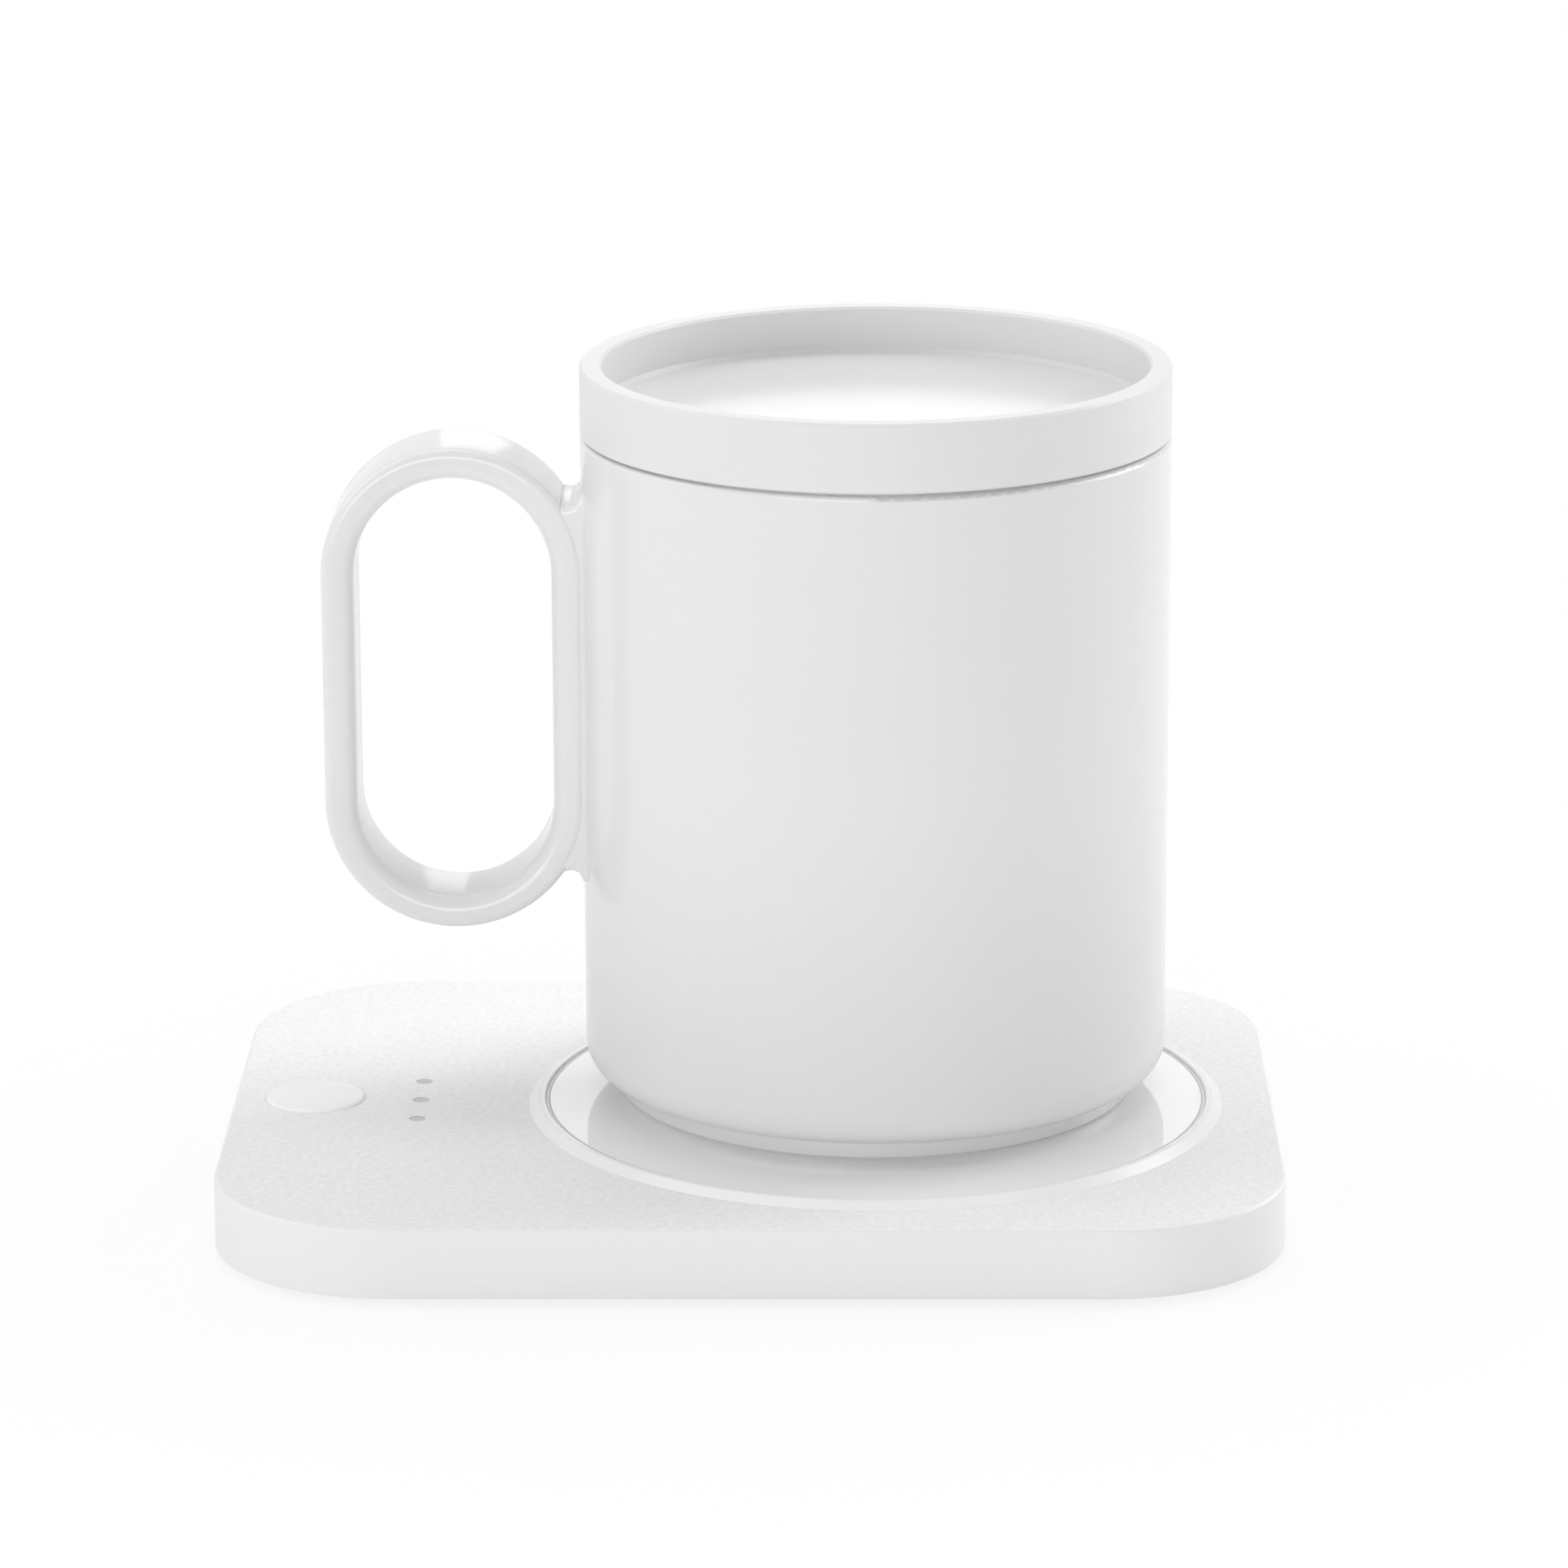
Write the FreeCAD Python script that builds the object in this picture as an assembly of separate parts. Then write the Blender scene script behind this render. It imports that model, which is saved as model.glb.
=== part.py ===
# Electric mug warmer with its lidded mug: a thin rounded slab with a push button, three indicator
# windows and a raised heating plate, on which a round ring-handled mug stands.
# Millimetres, Z up. The origin is the middle of the base, on the surface that it stands on.
import os
from math import cos, radians, sin, sqrt

import FreeCAD
import Part
from FreeCAD import Vector

# Base
BASE_LENGTH = 144.0
BASE_DEPTH = 112.0
BASE_HEIGHT = 9.5
CORNER_R = 24.5
TOP_EDGE_R = 0.5
WALL = 2.0
ROOF = 1.8
COVER_THICKNESS = 1.8
COVER_GAP = 0.25
FOOT_DROP = 1.0

# Heating plate and the bezel round it
PLATE_X = 17.0
BEZEL_OUTER_R = 48.0
BEZEL_CREST_R = 46.5
BEZEL_INNER_R = 45.75
BEZEL_HEIGHT = 1.0
BEZEL_SKIRT_R = 46.8
BEZEL_SKIRT_INNER_R = 45.6
BEZEL_SKIRT_DROP = 1.1
BEZEL_EDGE = 0.15
BEZEL_BOSS_R = 1.9
LEDGE_R = 43.0
LEDGE_THICKNESS = 1.0
PLATE_R = 45.35
PLATE_THICKNESS = 1.6
PLATE_DROP = 0.3
PLATE_EDGE = 0.25
GASKET_THICKNESS = 0.5
GASKET_INNER_R = 43.2
GASKET_OUTER_R = 45.2

# Heater stack
SPREADER_R = 42.2
SPREADER_THICKNESS = 1.2
HEATER_R = 40.0
HEATER_THICKNESS = 0.4
INSULATION_R = 41.0
INSULATION_THICKNESS = 1.2
CLAMP_THICKNESS = 0.8
CLAMP_BOLT_R = 44.3
CLAMP_EAR_R = 2.3
CLAMP_ANGLES = (30.0, 150.0, 270.0)
SENSOR_R = 1.5
SENSOR_HEIGHT = 1.6
SENSOR_EDGE = 0.4
SENSOR_HOLE_R = 2.2
FUSE_X = 31.0
FUSE_LENGTH = 6.0
FUSE_WIDTH = 4.0
FUSE_HEIGHT = 1.8
FUSE_EDGE = 0.3
FUSE_CLEARANCE = 0.6
LEAD_X = -19.0
LEAD_Y = 2.5
LEAD_R = 0.6
LEAD_BEND = 0.7
LEAD_RISE = 0.9
NOTCH_END_X = -17.0
NOTCH_HALF = 4.5
SENSOR_LEAD_R = 0.3
SENSOR_LEAD_Y = 0.5
SENSOR_LEAD_BEND = 0.45
SENSOR_LEAD_RISE = 0.55

# Button and indicators
BUTTON_X = -60.8
BUTTON_Y = 0.4
BUTTON_R = 6.8
BUTTON_GAP = 0.12
BUTTON_PROUD = 0.4
BUTTON_DISH = 0.6
BUTTON_RIM = 0.35
BUTTON_WALL = 1.4
BUTTON_TOP_THICKNESS = 1.1
BUTTON_FLANGE_R = 8.6
BUTTON_FLANGE_THICKNESS = 0.7
BUTTON_STEM_R = 1.5
COLLAR_INNER_R = 8.9
COLLAR_OUTER_R = 10.1
COLLAR_DEPTH = 2.1
HOLE_EDGE = 0.15
SWITCH_HALF = 2.25
SWITCH_HEIGHT = 1.5
SWITCH_FLOOR = 0.2
PLUNGER_R = 1.1
PLUNGER_RISE = 0.5
PLUNGER_DEPTH = 0.7
LIGHT_X = -46.1
LIGHT_Y = -0.6
LIGHT_PITCH = 8.3
LIGHT_R = 1.1
LIGHT_SETBACK = 0.05
LIGHT_FLANGE_R = 1.7
LIGHT_FLANGE_THICKNESS = 0.7
LIGHT_STEM_R = 0.9
LIGHT_NAMES = ("front", "middle", "rear")
LED_BASE = (2.0, 1.3, 0.4)
LED_LENS = (1.4, 1.1, 0.35)
LED_GAP = 0.15

# Mug
MUG_X = 17.0
MUG_Y = 7.0
MUG_R = 40.3
MUG_BORE_R = 36.6
MUG_HEIGHT = 92.5
MUG_FLOOR = 5.0
MUG_FLOOR_R = 6.0
MUG_RIM_R = 0.6
FOOT_R = 35.6
FOOT_HEIGHT = 2.5
FOOT_EDGE = 0.3
HEEL_R = 4.4
HANDLE_WIDTH = 35.8
HANDLE_HEIGHT = 67.6
HANDLE_BAND = 4.4
HANDLE_DEPTH = 14.5
HANDLE_EDGE_R = 1.5
HANDLE_X = -40.7
HANDLE_TOP_DROP = 0.9
WEB_R = 1.6
WEB_ROOT = 4.0

# Lid
LID_GAP = 0.5
LID_BAND = 9.2
LID_RIM = 3.0
LID_RECESS = 6.3
LID_FLOOR = 2.0
LID_LAND_R = 38.9
LID_EDGE = 0.35
LID_FLOOR_EDGE = 0.6
INSERT_R = 35.9
INSERT_INNER_R = 33.4
INSERT_DEPTH = 6.0
INSERT_EDGE = 0.4
INSERT_PLAY = 0.1
GROOVE_LIP = 1.6
GROOVE_HEIGHT = 3.0
SEAL_R = 36.25
SEAL_FLOOR_R = 34.6
SEAL_PLAY = 0.1
SEAL_LIP = 0.6
SEAL_SLOPE = 0.4
SEAL_VALLEY = 0.5

# Board and power inlet
BOARD_THICKNESS = 1.0
BOARD_RISE = 1.2
BOARD_STRIP = (-52.0, -34.0, -27.0, 52.0)
BOARD_TAB = (-67.0, -52.0, -14.0, 14.0)
BOARD_CORNER_R = 1.5
BOARD_EDGE_X = -36.0
BOARD_POSTS = ((-38.0, -22.0), (-38.0, 38.0), (-64.0, -10.5), (-64.0, 10.5))
CHIP_EDGE = 0.3
CHIPS = {
    "control_chip": (-44.0, 22.0, 5.0, 4.0, 1.5),
    "power_transistor": (-44.0, -18.0, 6.5, 6.0, 2.3),
    "inlet_capacitor": (-43.0, 33.0, 7.3, 4.3, 2.0),
}
INLET_X = -43.0
INLET_WIDTH = 8.94
INLET_HEIGHT = 3.16
INLET_LENGTH = 7.4
INLET_SETBACK = 0.8
INLET_GAP = 0.3
SHEET = 0.3
TONGUE_WIDTH = 6.7
TONGUE_THICKNESS = 0.7
TONGUE_LENGTH = 4.5
TONGUE_ROOT = 1.6
TONGUE_PLAY = 0.05

# Screws, their posts and the feet
SCREW_X = 58.0
SCREW_Y = 41.0
BOSS_R = 3.2
BOSS_BLIND = 0.5
PAD_R = 5.4
PAD_HEIGHT = 1.6
POST_R = 2.2
POST_BLIND = 0.6
FOOT_PAD_R = 5.0
FOOT_PAD_EDGE = 0.4
FOOT_POCKET_R = 5.2
FOOT_POCKET = 0.8
PILOT_R = 1.15
SHANK_R = 1.1
HEAD_R = 2.4
HEAD_HEIGHT = 1.6
SINK_R = 2.6
SINK_PLAY = 0.2
CLEAR_R = 1.3
TIP_GAP = 1.0
SMALL_SHANK_R = 0.75
SMALL_PILOT_R = 0.8
SMALL_HEAD_R = 1.6
SMALL_HEAD_HEIGHT = 1.0
SMALL_CLEAR_R = 0.95
SMALL_TIP_GAP = 0.4

# Levels that the pieces share
Z_UNDER = FOOT_DROP
Z_TOP = FOOT_DROP + BASE_HEIGHT
Z_ROOF = Z_TOP - ROOF
Z_COVER = Z_UNDER + COVER_THICKNESS
Z_PAD = Z_COVER + PAD_HEIGHT
Z_POCKET = Z_UNDER + FOOT_POCKET
Z_POST = Z_COVER + BOARD_RISE
Z_BOARD = Z_POST + BOARD_THICKNESS
Z_CREST = Z_TOP + BEZEL_HEIGHT
Z_PLATE = Z_CREST - PLATE_DROP
Z_SPREADER = Z_PLATE - PLATE_THICKNESS
Z_LEDGE = Z_SPREADER - GASKET_THICKNESS
Z_HEATER = Z_SPREADER - SPREADER_THICKNESS
Z_INSULATION = Z_HEATER - HEATER_THICKNESS
Z_CLAMP = Z_INSULATION - INSULATION_THICKNESS
Z_CLAMP_UNDER = Z_CLAMP - CLAMP_THICKNESS
Z_SWITCH = Z_BOARD + SWITCH_HEIGHT
Z_MUG_RIM = Z_PLATE + MUG_HEIGHT
Z_LID = Z_MUG_RIM + LID_GAP
Z_LID_TOP = Z_LID + LID_BAND
Z_LID_UNDER = Z_LID_TOP - LID_RECESS - LID_FLOOR

UP = Vector(0, 0, 1)
BACK = Vector(0, 1, 0)
CENTRE = Vector(0, 0, 0)
FULL_TURN = 360.0
DIAGONAL = sin(radians(45.0))

CORNERS = {
    "front_left": (-SCREW_X, -SCREW_Y),
    "front_right": (SCREW_X, -SCREW_Y),
    "rear_left": (-SCREW_X, SCREW_Y),
    "rear_right": (SCREW_X, SCREW_Y),
}
LIGHT_PLACES = {
    name: (LIGHT_X, LIGHT_Y + (i - 1) * LIGHT_PITCH) for i, name in enumerate(LIGHT_NAMES)
}


def disc(radius, low, high, x=0.0, y=0.0):
    """An upright round solid between two heights."""
    return Part.makeCylinder(radius, high - low, Vector(x, y, low))


def ring(inner, outer, low, high, x=0.0, y=0.0):
    return disc(outer, low, high, x, y).cut(disc(inner, low, high, x, y))


def block(x_low, x_high, y_low, y_high, low, high):
    return Part.makeBox(x_high - x_low, y_high - y_low, high - low, Vector(x_low, y_low, low))


def centred_block(x, y, length, depth, low, high):
    return block(x - length / 2, x + length / 2, y - depth / 2, y + depth / 2, low, high)


def line(start, end):
    """A straight edge between two (radius or x, height) corners."""
    return Part.makeLine(Vector(start[0], 0, start[1]), Vector(end[0], 0, end[1]))


def arc(start, middle, end):
    """A round edge through three (radius or x, height) corners."""
    places = [Vector(x, 0, z) for x, z in (start, middle, end)]
    return Part.Arc(*places).toShape()


def turned(edges, x=0.0, y=0.0):
    """A solid turned from a closed outline about an upright axis."""
    solid = Part.Face(Part.Wire(edges)).revolve(CENTRE, UP, FULL_TURN)
    solid.translate(Vector(x, y, 0))
    return solid


def outline(corners):
    """The straight edges that close a list of (radius, height) corners."""
    return [line(a, b) for a, b in zip(corners, corners[1:] + corners[:1])]


def rounded_slab(length, depth, radius, low, high):
    """A slab with round corners, centred on the origin."""
    slab = centred_block(0.0, 0.0, length, depth, low, high)
    return slab.makeFillet(radius, upright_edges(slab))


def obround(width, height, depth, x, y, z):
    """A flat-sided loop blank: a stadium in the XZ plane, pushed back along Y."""
    r = min(width, height) / 2
    across = max(width - height, 0.0) / 2
    along = max(height - width, 0.0) / 2
    ends = [
        Part.makeCylinder(r, depth, Vector(x + side * across, y, z + side * along), BACK)
        for side in (-1, 1)
    ]
    flat_x = across if across else r
    flat_z = along if along else r
    middle = block(x - flat_x, x + flat_x, y, y + depth, z - flat_z, z + flat_z)
    return joined(ends + [middle])


def upright_edges(shape):
    return [edge for edge in shape.Edges if abs(edge.tangentAt(edge.FirstParameter).z) > 0.9]


def edges_at(shape, height, tolerance=0.01):
    """The edges of a shape that lie flat at one height."""
    box = [(edge, edge.BoundBox) for edge in shape.Edges]
    return [e for e, b in box if abs(b.ZMin - height) < tolerance and abs(b.ZMax - height) < tolerance]


def joined(pieces):
    whole = pieces[0]
    for piece in pieces[1:]:
        whole = whole.fuse(piece)
    return whole.removeSplitter()


def around_plate(radius, angle):
    return PLATE_X + radius * cos(radians(angle)), radius * sin(radians(angle))


def inlet_outline(grow, y_low, y_high):
    """The rounded slot shape of the power inlet, grown evenly all round."""
    middle = Z_BOARD + INLET_HEIGHT / 2
    return obround(
        INLET_WIDTH + 2 * grow, INLET_HEIGHT + 2 * grow, y_high - y_low, INLET_X, y_low, middle
    )


def button_hole():
    """Round hole for the button, its upper edge broken all round."""
    hole_r = BUTTON_R + BUTTON_GAP
    hole = disc(hole_r, Z_ROOF, Z_TOP, BUTTON_X, BUTTON_Y)
    edge_low = Vector(BUTTON_X, BUTTON_Y, Z_TOP - HOLE_EDGE)
    return hole.fuse(Part.makeCone(hole_r, hole_r + HOLE_EDGE, HOLE_EDGE, edge_low))


def top_housing():
    """Moulded upper shell: roof and skirt in one, open below, with every boss hanging from the roof."""
    shell = rounded_slab(BASE_LENGTH, BASE_DEPTH, CORNER_R, Z_UNDER, Z_TOP)
    shell = shell.makeFillet(TOP_EDGE_R, edges_at(shell, Z_TOP))
    inside = rounded_slab(
        BASE_LENGTH - 2 * WALL, BASE_DEPTH - 2 * WALL, CORNER_R - WALL, Z_UNDER, Z_ROOF
    )
    shell = shell.cut(inside)
    bosses = [disc(BOSS_R, Z_PAD, Z_ROOF, x, y) for x, y in CORNERS.values()]
    collar = ring(COLLAR_INNER_R, COLLAR_OUTER_R, Z_ROOF - COLLAR_DEPTH, Z_ROOF, BUTTON_X, BUTTON_Y)
    shell = joined([shell, collar] + bosses)
    shell = shell.cut(button_hole())
    plate_hole_r = BEZEL_SKIRT_R + 0.2
    shell = shell.cut(disc(plate_hole_r, Z_ROOF, Z_TOP, PLATE_X))
    for x, y in CORNERS.values():
        shell = shell.cut(disc(PILOT_R, Z_PAD, Z_ROOF - BOSS_BLIND, x, y))
    light_hole_r = LIGHT_R + 0.05
    for x, y in LIGHT_PLACES.values():
        shell = shell.cut(disc(light_hole_r, Z_ROOF, Z_TOP, x, y))
    return shell.cut(inlet_outline(INLET_GAP, BASE_DEPTH / 2 - WALL, BASE_DEPTH / 2))


def bottom_cover():
    """Flat moulded tray that closes the shell, with foot pockets below and board posts above."""
    inset = WALL + COVER_GAP
    cover = rounded_slab(
        BASE_LENGTH - 2 * inset, BASE_DEPTH - 2 * inset, CORNER_R - inset, Z_UNDER, Z_COVER
    )
    pads = [disc(PAD_R, Z_COVER, Z_PAD, x, y) for x, y in CORNERS.values()]
    posts = [disc(POST_R, Z_COVER, Z_POST, x, y) for x, y in BOARD_POSTS]
    cover = joined([cover] + pads + posts)
    sink_top = Z_POCKET + HEAD_HEIGHT + SINK_PLAY
    for x, y in CORNERS.values():
        cover = cover.cut(disc(FOOT_POCKET_R, Z_UNDER, Z_POCKET, x, y))
        cover = cover.cut(disc(SINK_R, Z_POCKET, sink_top, x, y))
        cover = cover.cut(disc(CLEAR_R, sink_top, Z_PAD, x, y))
    for x, y in BOARD_POSTS:
        cover = cover.cut(disc(SMALL_PILOT_R, Z_UNDER + POST_BLIND, Z_POST, x, y))
    return cover


def foot(x, y):
    """Round rubber pad, stuck in its pocket over a housing screw."""
    pad = disc(FOOT_PAD_R, 0.0, Z_POCKET, x, y)
    return pad.makeChamfer(FOOT_PAD_EDGE, edges_at(pad, 0.0))


def screw(x, y, head_low, head_height, head_r, shank_r, length):
    """Pan-head screw driven upwards from below."""
    head_top = head_low + head_height
    head = disc(head_r, head_low, head_top, x, y)
    return joined([head, disc(shank_r, head_top, head_top + length, x, y)])


def housing_screws():
    low = Z_POCKET + SINK_PLAY
    length = Z_ROOF - TIP_GAP - low - HEAD_HEIGHT
    return [screw(x, y, low, HEAD_HEIGHT, HEAD_R, SHANK_R, length) for x, y in CORNERS.values()]


def board_screws():
    """Small pan-head screws driven down through the board into the posts of the cover."""
    group = []
    for x, y in BOARD_POSTS:
        head = disc(SMALL_HEAD_R, Z_BOARD, Z_BOARD + SMALL_HEAD_HEIGHT, x, y)
        group.append(joined([head, disc(SMALL_SHANK_R, Z_UNDER + TIP_GAP, Z_BOARD, x, y)]))
    return group


def plate_bezel():
    """Raised ring with a sloped outer face; its skirt drops through the roof and carries the plate."""
    ledge_low = Z_LEDGE - LEDGE_THICKNESS
    skirt_low = ledge_low - BEZEL_SKIRT_DROP
    body = turned(
        outline(
            [
                (BEZEL_OUTER_R, Z_TOP),
                (BEZEL_CREST_R + BEZEL_EDGE, Z_CREST - BEZEL_EDGE / 2),
                (BEZEL_CREST_R - BEZEL_EDGE, Z_CREST),
                (BEZEL_INNER_R + BEZEL_EDGE, Z_CREST),
                (BEZEL_INNER_R, Z_CREST - BEZEL_EDGE),
                (BEZEL_INNER_R, Z_LEDGE),
                (LEDGE_R, Z_LEDGE),
                (LEDGE_R, ledge_low),
                (BEZEL_SKIRT_INNER_R, ledge_low),
                (BEZEL_SKIRT_INNER_R, skirt_low),
                (BEZEL_SKIRT_R, skirt_low),
                (BEZEL_SKIRT_R, Z_TOP),
            ]
        ),
        PLATE_X,
    )
    places = [around_plate(CLAMP_BOLT_R, angle) for angle in CLAMP_ANGLES]
    boss_top = Z_LEDGE - 0.5
    pilot_top = Z_LEDGE - 0.2
    bosses = [disc(BEZEL_BOSS_R, Z_CLAMP, boss_top, x, y) for x, y in places]
    body = joined([body] + bosses + snap_hooks())
    for x, y in places:
        body = body.cut(disc(SMALL_PILOT_R, Z_CLAMP, pilot_top, x, y))
    return body


def snap_hooks():
    """Four short barbs under the roof that keep the bezel in its hole."""
    hook_r = BEZEL_SKIRT_R + 0.9
    hook_root_r = BEZEL_SKIRT_R - 0.4
    hook_low = Z_ROOF - 1.2
    hook_high = Z_ROOF - 0.1
    hook_width = 8.0
    reach = 120.0
    band = ring(hook_root_r, hook_r, hook_low, hook_high, PLATE_X)
    across = centred_block(PLATE_X, 0.0, reach, hook_width, hook_low, hook_high)
    hooks = []
    for turn in (0, 90):
        bar = across.copy()
        bar.rotate(Vector(PLATE_X, 0, 0), UP, turn)
        hooks += band.common(bar).Solids
    return hooks


def heating_plate():
    plate = disc(PLATE_R, Z_SPREADER, Z_PLATE, PLATE_X)
    return plate.makeChamfer(PLATE_EDGE, edges_at(plate, Z_PLATE))


def plate_gasket():
    return ring(GASKET_INNER_R, GASKET_OUTER_R, Z_LEDGE, Z_SPREADER, PLATE_X)


def heat_spreader():
    return disc(SPREADER_R, Z_HEATER, Z_SPREADER, PLATE_X)


def window_cuts(low, high):
    """Openings in the heater stack for the sensor and the fuse."""
    sensor = disc(SENSOR_HOLE_R, low, high, PLATE_X)
    length = FUSE_LENGTH + 2 * FUSE_CLEARANCE
    width = FUSE_WIDTH + 2 * FUSE_CLEARANCE
    return [sensor, centred_block(FUSE_X, 0.0, length, width, low, high)]


def lead_notch(low, high):
    """Slot from the left edge of the stack for the heater leads."""
    return block(PLATE_X - BEZEL_OUTER_R, NOTCH_END_X, -NOTCH_HALF, NOTCH_HALF, low, high)


def heating_element():
    """Etched-foil film heater, bonded under the spreader."""
    film = disc(HEATER_R, Z_INSULATION, Z_HEATER, PLATE_X)
    for cut in window_cuts(Z_INSULATION, Z_HEATER):
        film = film.cut(cut)
    return film


def insulation_pad():
    pad = disc(INSULATION_R, Z_CLAMP, Z_INSULATION, PLATE_X)
    for cut in window_cuts(Z_CLAMP, Z_INSULATION) + [lead_notch(Z_CLAMP, Z_INSULATION)]:
        pad = pad.cut(cut)
    return pad


def heater_clamp():
    """Pressed steel plate with three ears that squeezes the heater stack up against the plate."""
    low = Z_CLAMP_UNDER
    pieces = [disc(INSULATION_R, low, Z_CLAMP, PLATE_X)]
    for angle in CLAMP_ANGLES:
        arm = block(0.0, CLAMP_BOLT_R, -CLAMP_EAR_R, CLAMP_EAR_R, low, Z_CLAMP)
        arm.rotate(CENTRE, UP, angle)
        arm.translate(Vector(PLATE_X, 0, 0))
        x, y = around_plate(CLAMP_BOLT_R, angle)
        pieces += [arm, disc(CLAMP_EAR_R, low, Z_CLAMP, x, y)]
    clamp = joined(pieces)
    for cut in window_cuts(low, Z_CLAMP) + [lead_notch(low, Z_CLAMP)]:
        clamp = clamp.cut(cut)
    for angle in CLAMP_ANGLES:
        x, y = around_plate(CLAMP_BOLT_R, angle)
        clamp = clamp.cut(disc(SMALL_CLEAR_R, low, Z_CLAMP, x, y))
    return clamp


def clamp_screws():
    low = Z_CLAMP_UNDER - SMALL_HEAD_HEIGHT
    length = Z_LEDGE - SMALL_TIP_GAP - Z_CLAMP_UNDER
    places = [around_plate(CLAMP_BOLT_R, angle) for angle in CLAMP_ANGLES]
    return [
        screw(x, y, low, SMALL_HEAD_HEIGHT, SMALL_HEAD_R, SMALL_SHANK_R, length) for x, y in places
    ]


def temperature_sensor():
    """Small bead pressed against the middle of the spreader."""
    low = Z_HEATER - SENSOR_HEIGHT
    bead = disc(SENSOR_R, low, Z_HEATER, PLATE_X)
    return bead.makeChamfer(SENSOR_EDGE, edges_at(bead, low))


def thermal_fuse():
    low = Z_HEATER - FUSE_HEIGHT
    fuse = centred_block(FUSE_X, 0.0, FUSE_LENGTH, FUSE_WIDTH, low, Z_HEATER)
    return fuse.makeChamfer(FUSE_EDGE, edges_at(fuse, low))


def button_cap():
    """Round push button: dished top in a rounded rim, flange under the roof, stem to the switch."""
    rim = Z_TOP + BUTTON_PROUD
    floor = rim - BUTTON_DISH
    dish_r = BUTTON_R - BUTTON_RIM
    shoulder = rim - BUTTON_RIM
    flange_high = Z_ROOF - 0.05
    flange_low = flange_high - BUTTON_FLANGE_THICKNESS
    ceiling = floor - BUTTON_TOP_THICKNESS
    stem_low = Z_SWITCH + PLUNGER_RISE
    wall_r = BUTTON_R - BUTTON_WALL
    corners = [
        (BUTTON_R, shoulder),
        (BUTTON_R, flange_high),
        (BUTTON_FLANGE_R, flange_high),
        (BUTTON_FLANGE_R, flange_low),
        (wall_r, flange_low),
        (wall_r, ceiling),
        (BUTTON_STEM_R, ceiling),
        (BUTTON_STEM_R, stem_low),
        (0.0, stem_low),
        (0.0, floor),
    ]
    edges = [
        arc((0.0, floor), (dish_r / 2, floor + BUTTON_DISH / 4), (dish_r, rim)),
        arc(
            (dish_r, rim),
            (dish_r + BUTTON_RIM * DIAGONAL, shoulder + BUTTON_RIM * DIAGONAL),
            (BUTTON_R, shoulder),
        ),
    ]
    edges += [line(a, b) for a, b in zip(corners, corners[1:])]
    return turned(edges, BUTTON_X, BUTTON_Y)


def tact_switch():
    """Square board-mounted switch with a round well for its plunger."""
    side = 2 * SWITCH_HALF
    body = centred_block(BUTTON_X, BUTTON_Y, side, side, Z_BOARD, Z_SWITCH)
    return body.cut(disc(PLUNGER_R + 0.1, Z_BOARD + SWITCH_FLOOR, Z_SWITCH, BUTTON_X, BUTTON_Y))


def switch_plunger():
    return disc(PLUNGER_R, Z_SWITCH - PLUNGER_DEPTH, Z_SWITCH + PLUNGER_RISE, BUTTON_X, BUTTON_Y)


def light_pipe(x, y):
    """Clear moulded rod: flush window, glued flange under the roof, stem down to its lamp."""
    flange_low = Z_ROOF - LIGHT_FLANGE_THICKNESS
    stem_low = Z_BOARD + LED_BASE[2] + LED_LENS[2] + LED_GAP
    window = disc(LIGHT_R, Z_ROOF, Z_TOP - LIGHT_SETBACK, x, y)
    flange = disc(LIGHT_FLANGE_R, flange_low, Z_ROOF, x, y)
    return joined([window, flange, disc(LIGHT_STEM_R, stem_low, flange_low, x, y)])


def indicator_led(x, y):
    """Surface-mounted lamp: a flat base with its lens on top."""
    base_top = Z_BOARD + LED_BASE[2]
    base = centred_block(x, y, LED_BASE[0], LED_BASE[1], Z_BOARD, base_top)
    lens = centred_block(x, y, LED_LENS[0], LED_LENS[1], base_top, base_top + LED_LENS[2])
    return joined([base, lens])


def control_board():
    """Main board: a long strip beside the plate with a tab to the left under the button."""
    board = joined([block(*sides, Z_POST, Z_BOARD) for sides in (BOARD_STRIP, BOARD_TAB)])
    board = board.makeFillet(BOARD_CORNER_R, upright_edges(board))
    for x, y in BOARD_POSTS:
        board = board.cut(disc(SMALL_CLEAR_R, Z_POST, Z_BOARD, x, y))
    return board


def chip(x, y, length, depth, height):
    body = centred_block(x, y, length, depth, Z_BOARD, Z_BOARD + height)
    return body.makeChamfer(CHIP_EDGE, edges_at(body, Z_BOARD + height))


def inlet_shell():
    """Drawn steel shell of the flat power socket, standing on the board behind the rear wall."""
    front = BASE_DEPTH / 2 - INLET_SETBACK
    back = front - INLET_LENGTH
    body = inlet_outline(0.0, back, front)
    return body.cut(inlet_outline(-SHEET, back + SHEET, front))


def inlet_tongue():
    """Plastic tongue with its contacts, in the middle of the socket."""
    back = BASE_DEPTH / 2 - INLET_SETBACK - INLET_LENGTH + SHEET
    root_end = back + TONGUE_ROOT
    tip = root_end + TONGUE_LENGTH
    middle = Z_BOARD + INLET_HEIGHT / 2
    root = inlet_outline(-SHEET - TONGUE_PLAY, back, root_end)
    blade = block(
        INLET_X - TONGUE_WIDTH / 2,
        INLET_X + TONGUE_WIDTH / 2,
        root_end,
        tip,
        middle - TONGUE_THICKNESS / 2,
        middle + TONGUE_THICKNESS / 2,
    )
    return joined([root, blade])


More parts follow.
